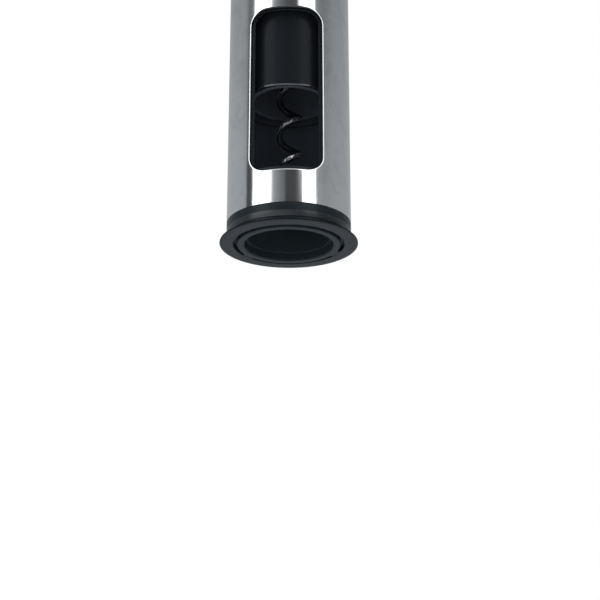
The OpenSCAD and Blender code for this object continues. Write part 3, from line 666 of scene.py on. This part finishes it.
class OPENER_OT_chamber(Build, bpy.types.Operator):
    """Liner behind the window, guide sleeve and the feed track inside it."""

    bl_idname = "opener.chamber"
    bl_label = "Cork chamber"

    def execute(self, context):
        soft_edges("inner_liner", 0.25 * MM)
        # Painted light: the liner's inner wall is painted lighter, to brighten the dim chamber behind the
        # window.
        bore_painted_light = (high("inner_liner").x - 1.1 * MM, linear("#4d535b"))
        finish_nodes(moulded_plastic("Moulded ABS, matte", self.colours.liner, 0.5, gloss=0.08, bore=bore_painted_light),
                     "inner_liner")
        self.sleeve()
        # Painted light: the track is painted a lighter grey, to brighten the dim inside of the sleeve.
        finish_nodes(moulded_plastic("Machined acetal", linear("#4d5252"), 0.4), "feed_track")
        finish_nodes(machined_metal("Zinc-plated screw steel", linear("#b4b5b6"), 0.3), "sleeve_screws")
        return {"FINISHED"}

    def sleeve(self):
        """The guide sleeve, with the lip that handling has polished."""
        bottom = low("guide_sleeve").z / MM
        top = high("guide_sleeve").z / MM
        flange = high("guide_sleeve").x / MM
        outline = soften([
            (17.2, bottom, 0.2), (18.5, bottom, 0.55), (18.5, top - 3, 0), (flange, top - 3, 0.2),
            (flange, top, 0.2), (17.2, top, 0)], 6)
        sleeve = turned("guide_sleeve_shell", outline)
        stand_in(sleeve, "housing", "sleeve_acetal", "guide_sleeve")
        # Painted light: the sleeve's bore is painted lighter, to brighten the dim inside seen through the
        # window.
        dress(sleeve, moulded_plastic("Moulded acetal, semi-gloss", self.colours.sleeve, 0.32, grain=0.06,
                                      gloss=0.05, bore=(17.3 * MM, linear("#3d4249"))),
              moulded_plastic("Moulded acetal, polished lip", linear("#1a1d20"), 0.12, grain=0.02, gloss=1.0))
        for face in sleeve.data.polygons:
            middle = face.center
            if middle.z < (bottom + 0.6) * MM and math.hypot(middle.x, middle.y) > 17.6 * MM:
                face.material_index = 1


class OPENER_OT_worm(Build, bpy.types.Operator):
    """Coated worm with its ground tip, and the holder, pin and grub screw that carry it."""

    bl_idname = "opener.worm"
    bl_label = "Worm and carriage"

    def execute(self, context):
        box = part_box("worm")
        pitch = 0.015
        coil_top = 0.116
        tip = 0.0255
        coils = (coil_top - tip) / pitch
        coil_r = box[1].x - self.sizes.wire / 2
        steps = int(coils * 40)
        path = []
        radii = []
        for i in range(steps + 1):
            t = i / steps * coils
            left = coils - t
            ease = min(1.0, left / 0.7)
            r = coil_r * ease * ease * (3 - 2 * ease) * min(1.0, 0.55 + t)
            a = math.radians(90 + 360 * t)
            path.append((r * math.cos(a), r * math.sin(a), tip + pitch * t))
            grind = min(1.0, t / 0.55)
            radii.append(self.sizes.wire / 2 * (0.06 + 0.94 * math.sin(grind * math.pi / 2)))
        for z in (coil_top + 0.001, coil_top + 0.002, box[1].z):
            path.append((0.0, 0.0, z))
            radii.append(self.sizes.wire / 2)

        def lean(i):
            a = math.radians(90 + 360 * min(i, steps) / steps * coils)
            return (math.cos(a), math.sin(a), 0.0)

        worm = swept("worm_wire", path, radii, 20, lean)
        stand_in(worm, "worm_carriage", "coated_steel", "worm")
        dress(worm, coated_wire("Coated spring wire", self.colours.worm, coil_r, self.sizes.wire))
        finish_nodes(machined_metal("Die-cast zinc", linear("#85888b"), 0.42), "worm_holder")
        finish_nodes(machined_metal("Ground steel pin", linear("#b9babb"), 0.22), "cross_pin", "grub_screw")
        soft_edges("worm_holder", 0.2 * MM)
        return {"FINISHED"}


class OPENER_OT_drive(Build, bpy.types.Operator):
    """Slotted drive tube and the two-stage planetary gearbox."""

    bl_idname = "opener.drive"
    bl_label = "Drive and gearbox"

    def execute(self, context):
        nylon = moulded_plastic("Glass-filled nylon", linear("#1d2226"), 0.42, grain_mm=0.2, grain=0.25)
        finish_nodes(nylon, "gearbox_plate", "gearbox_cover")
        # Painted light: the drive tube is painted a pale grey, to brighten the dim inside seen through the
        # sleeve.
        finish_nodes(moulded_plastic("Glass-filled nylon, painted-light", linear("#4b5057"), 0.5, gloss=0.1),
                     "drive_tube")
        soft_edges("drive_tube", 0.15 * MM)
        acetal = moulded_plastic("Natural moulded acetal", linear("#e2e0d6"), 0.38)
        finish_nodes(acetal, "ring_gear", "output_planet_1", "output_planet_2", "output_planet_3",
                     "input_planet_1", "input_planet_2", "input_planet_3")
        sintered = machined_metal("Sintered steel", linear("#8e8e8d"), 0.45)
        finish_nodes(sintered, "output_carrier", "sun_carrier")
        finish_nodes(machined_metal("Turned brass", linear("#c9a257"), 0.25), "output_bush", "motor_pinion")
        finish_nodes(machined_metal("Ground dowel steel", linear("#bcbdbe"), 0.2),
                     "output_planet_pins", "input_planet_pins", "gearbox_screws")
        return {"FINISHED"}


class OPENER_OT_motor(Build, bpy.types.Operator):
    """Brushed direct-current motor: can, magnets, armature, commutator, end bell and leads."""

    bl_idname = "opener.motor"
    bl_label = "Motor"

    def execute(self, context):
        finish_nodes(brushed_stainless("Zinc-plated drawn steel", linear("#b5b6b4"), 0.3, 0.06, 0.3),
                     "motor_can")
        finish_nodes(moulded_plastic("Sintered ferrite", linear("#2c2c2d"), 0.6, grain_mm=0.15, grain=0.3),
                     "motor_magnets")
        finish_nodes(machined_metal("Enamelled copper winding", linear("#a4562a"), 0.3, 0.4), "armature")
        finish_nodes(machined_metal("Turned copper", linear("#c47a52"), 0.25), "commutator")
        finish_nodes(machined_metal("Ground shaft steel", linear("#c3c4c5"), 0.18), "rotor_shaft",
                     "motor_screws")
        finish_nodes(moulded_plastic("Moulded nylon", linear("#1b1c1d"), 0.45), "motor_endbell")
        finish_nodes(machined_metal("Stamped brass", linear("#c8a352"), 0.3), "motor_terminals")
        finish_nodes(moulded_plastic("Vinyl insulation", linear("#8d1d1b"), 0.35, grain=0.05), "motor_leads")
        return {"FINISHED"}


class OPENER_OT_handle(Build, bpy.types.Operator):
    """Two handle shells with their screws, and the gloss cap."""

    bl_idname = "opener.handle"
    bl_label = "Handle and cap"

    def execute(self, context):
        soft = moulded_plastic("Soft-touch coated ABS", self.colours.handle, 0.5, grain_mm=0.25, grain=0.2,
                               gloss=0.4)
        finish_nodes(soft, "handle_front", "handle_back")
        soft_edges("handle_front", 0.18 * MM)
        soft_edges("handle_back", 0.18 * MM)
        finish_nodes(machined_metal("Zinc-plated self-tapping screw", linear("#a9aaab"), 0.32),
                     "handle_screws")
        finish_nodes(moulded_plastic("Gloss moulded ABS", linear("#15181a"), 0.14, grain=0.03), "top_cap")
        return {"FINISHED"}


class OPENER_OT_buttons(Build, bpy.types.Operator):
    """The two buttons with their silver arrows, plungers and switches, and the indicator lens."""

    bl_idname = "opener.buttons"
    bl_label = "Buttons"

    def execute(self, context):
        finish_nodes(moulded_plastic("Moulded ABS, fine satin", self.colours.button, 0.42), "button_up",
                     "button_down")
        for name in ("button_up", "button_down"):
            soft_edges(name, 0.3 * MM, segments=3)
        finish_nodes(polished_metal("Hot-stamped silver foil", linear("#cfd2d4"), 0.25), "arrow_up",
                     "arrow_down")
        finish_nodes(moulded_plastic("Natural nylon", linear("#cbbd97"), 0.4), "plunger_up", "plunger_down")
        finish_nodes(moulded_plastic("Moulded switch housing", linear("#1c1d1e"), 0.4), "tact_switches")
        finish_nodes(clear_lens("Tinted polycarbonate", linear("#8fb9ea")), "indicator_lens")
        return {"FINISHED"}


class OPENER_OT_electronics(Build, bpy.types.Operator):
    """Control board, cells, tabs, tray and charging socket."""

    bl_idname = "opener.electronics"
    bl_label = "Board and cells"

    def execute(self, context):
        finish_nodes(moulded_plastic("Solder-masked laminate", linear("#1c5a36"), 0.28, grain_mm=0.5,
                                     grain=0.1), "control_board")
        finish_nodes(moulded_plastic("Moulded epoxy packages", linear("#222426"), 0.45), "board_parts")
        finish_nodes(moulded_plastic("Moulded tray nylon", linear("#202325"), 0.45), "battery_tray")
        finish_nodes(moulded_plastic("Shrink-wrap film", linear("#2f7f43"), 0.22, grain=0.04),
                     "battery_cells")
        finish_nodes(machined_metal("Nickel strip", linear("#b9b6ae"), 0.28), "battery_tabs", "charge_pin")
        finish_nodes(moulded_plastic("Moulded socket nylon", linear("#17191a"), 0.4), "charge_socket")
        return {"FINISHED"}


class OPENER_OT_studio(Build, bpy.types.Operator):
    """Pale floor, soft upright lights in a grey room, and the camera."""

    bl_idname = "opener.studio"
    bl_label = "Studio"

    def execute(self, context):
        scene = context.scene
        s = scene.opener_studio
        self.floor(s)
        self.room(scene, s)
        self.camera(scene, s)
        scene.view_settings.view_transform = "Standard"
        scene.view_settings.look = "None"
        return {"FINISHED"}

    def floor(self, s):
        half = 1.2
        drop = -s.floor_drop
        verts = [(-half, -half, drop), (half, -half, drop), (half, half, drop), (-half, half, drop)]
        floor = add_object("pale_floor", verts, [(0, 1, 2, 3)])
        material, tree, shader = new_material("Matt white paper")
        where = node(tree, "ShaderNodeTexCoord")
        fibres = node(tree, "ShaderNodeTexNoise", {"Scale": 60.0, "Detail": 2.0}, Vector=(where, "Object"))
        shade = node(tree, "ShaderNodeMix",
                     {"data_type": "RGBA", FACTOR: (fibres, "Fac"), COLOUR_A: linear("#eeeff1"),
                      COLOUR_B: linear("#f3f4f5")})
        join(tree, (shade, MIXED_COLOUR), shader, "Base Color")
        shader.inputs["Roughness"].default_value = 0.9
        dress(floor, material)

    def room(self, scene, s):
        """A grey room with two upright softboxes, a dark gap between them and a soft light overhead, painted
        by direction."""
        world = bpy.data.worlds.new("Studio room")
        scene.world = world
        world.use_nodes = True
        tree = world.node_tree
        tree.nodes.clear()
        where = node(tree, "ShaderNodeTexCoord")
        split = node(tree, "ShaderNodeSeparateXYZ", Vector=(where, "Generated"))
        # Azimuth from -Y towards +X, from -180 to 180 degrees, as 0 to 1.
        flip = node(tree, "ShaderNodeMath", {"operation": "MULTIPLY", 0: (split, "Y"), 1: -1.0})
        angle = node(tree, "ShaderNodeMath", {"operation": "ARCTAN2", 0: (split, "X"), 1: (flip, "Value")})
        part = node(tree, "ShaderNodeMapRange", {"From Min": -math.pi, "From Max": math.pi},
                    Value=(angle, "Value"))
        g = s.grey
        w = s.softbox
        dark = 0.07
        overhead = 2.0
        # Degrees round from -Y towards +X and the brightness seen there, below eye level, at it and above it.
        below = [(-180, g), (-140, 0.35), (-83, 0.35), (-75, 0.45), (-62, 0.8), (-20, 1.0), (-5, 0.95),
                 (8, 0.75), (16, 0.5), (22, 0.2), (60, 0.08), (90, 0.1), (140, g * 0.7), (180, g)]
        level = [(-180, g), (-110, g * 1.1), (-83, g), (-81, 0.07), (-68, 0.07), (-65.5, w), (-33, w),
                 (-28, 0.62), (-22, 0.4), (-17, 0.34), (-11.5, 0.25), (-6, 0.22), (-2, dark), (22, dark),
                 (27, 0.11), (29.5, w), (52, w), (54, g), (72, g * 0.86), (95, g * 0.96), (180, g)]
        above = [(-180, g * 0.9), (-104, g * 0.82), (-90, g * 0.75), (-83, 0.22), (-78, 0.17), (-69, 0.17),
                 (-63, w), (-34, w), (-31, 0.5), (-22, 0.22), (-14, 0.1), (-7, 0.08), (0, 0.06), (18, 0.06),
                 (25, w), (50, w), (54, 0.26), (72, 0.2), (95, 0.32), (140, g * 0.85), (180, g * 0.9)]
        rings = []
        for stops in (below, level, above):
            ramp = node(tree, "ShaderNodeValToRGB", Fac=(part, "Result"))
            elements = ramp.color_ramp.elements
            elements.remove(elements[-1])
            for i, (degrees, value) in enumerate(stops):
                at = (degrees + 180) / 360
                stop = elements[0] if i == 0 else elements.new(at)
                stop.position = at
                stop.color = tuple(value / w * c for c in (0.985, 1.01, 1.035)) + (1.0,)
            rings.append((ramp, "Color"))
        ring, eye_level, upper = rings
        for higher, start, end in ((eye_level, 0.02, 0.14), (upper, 0.41, 0.52)):
            climb = node(tree, "ShaderNodeMapRange", {"From Min": start, "From Max": end}, Value=(split, "Z"))
            mix = node(tree, "ShaderNodeMix",
                       {"data_type": "RGBA", FACTOR: (climb, "Result"), COLOUR_A: ring, COLOUR_B: higher})
            ring = mix, MIXED_COLOUR
        # The upright lights fade above and below; overhead there is one broad soft light.
        foot = node(tree, "ShaderNodeMapRange", {"From Min": -0.55, "From Max": -0.2}, Value=(split, "Z"))
        foot_colour = tuple(g / w * c for c in (0.9, 1.05, 1.25)) + (1.0,)
        upright = node(tree, "ShaderNodeMix",
                       {"data_type": "RGBA", FACTOR: (foot, "Result"), COLOUR_A: foot_colour, COLOUR_B: ring})
        height = node(tree, "ShaderNodeMapRange", {"From Min": 0.55, "From Max": 0.8}, Value=(split, "Z"))
        sky = node(tree, "ShaderNodeMix",
                   {"data_type": "RGBA", FACTOR: (height, "Result"), COLOUR_A: (upright, MIXED_COLOUR),
                    COLOUR_B: (overhead / w,) * 3 + (1.0,)})
        lit = node(tree, "ShaderNodeBackground", {"Strength": w}, Color=(sky, MIXED_COLOUR))
        # The backdrop itself is plain white.
        plain = node(tree, "ShaderNodeBackground", {"Color": (1, 1, 1, 1), "Strength": 1.0})
        path = node(tree, "ShaderNodeLightPath")
        both = node(tree, "ShaderNodeMixShader", {1: (lit, "Background"), 2: (plain, "Background")},
                    Fac=(path, "Is Camera Ray"))
        node(tree, "ShaderNodeOutputWorld", Surface=(both, "Shader"))

    def camera(self, scene, s):
        data = bpy.data.cameras.new("Camera")
        data.lens = s.lens
        data.sensor_width = 36
        data.clip_start = 0.01
        camera = bpy.data.objects.new("Camera", data)
        scene.collection.objects.link(camera)
        around = Matrix.Rotation(s.turn, 4, "Z")
        place = around @ Vector((0.00414, -0.4528, -0.1706))
        camera.matrix_world = (Matrix.Translation(place) @ around
                               @ Matrix.Rotation(math.pi / 2 + s.tilt, 4, "X"))
        scene.camera = camera


class OPENER_PT_panel(bpy.types.Panel):
    """Shows the opener's settings and build buttons in the sidebar."""

    bl_idname = "OPENER_PT_panel"
    bl_label = "Wine Opener"
    bl_space_type = "VIEW_3D"
    bl_region_type = "UI"
    bl_category = "Wine Opener"

    def draw(self, context):
        column = self.layout.column()
        for group in ("opener_sizes", "opener_colours", "opener_studio"):
            settings = getattr(context.scene, group)
            for key in settings.__annotations__:
                column.prop(settings, key)
        for cls in OPERATORS:
            column.operator(cls.bl_idname)


OPERATORS = (
    OPENER_OT_tube,
    OPENER_OT_neck,
    OPENER_OT_chamber,
    OPENER_OT_worm,
    OPENER_OT_drive,
    OPENER_OT_motor,
    OPENER_OT_handle,
    OPENER_OT_buttons,
    OPENER_OT_electronics,
    OPENER_OT_studio,
)
GROUPS = {"opener_sizes": OpenerSizes, "opener_colours": OpenerColours, "opener_studio": OpenerStudio}


def register():
    for cls in (*GROUPS.values(), *OPERATORS, OPENER_PT_panel):
        bpy.utils.register_class(cls)
    for name, cls in GROUPS.items():
        setattr(bpy.types.Scene, name, bpy.props.PointerProperty(type=cls))


def unregister():
    for name in GROUPS:
        delattr(bpy.types.Scene, name)
    for cls in (OPENER_PT_panel, *reversed(OPERATORS), *GROUPS.values()):
        bpy.utils.unregister_class(cls)


def main():
    register()
    for cls in OPERATORS:
        category, name = cls.bl_idname.split(".")
        getattr(getattr(bpy.ops, category), name)()


if __name__ == "__main__":
    main()
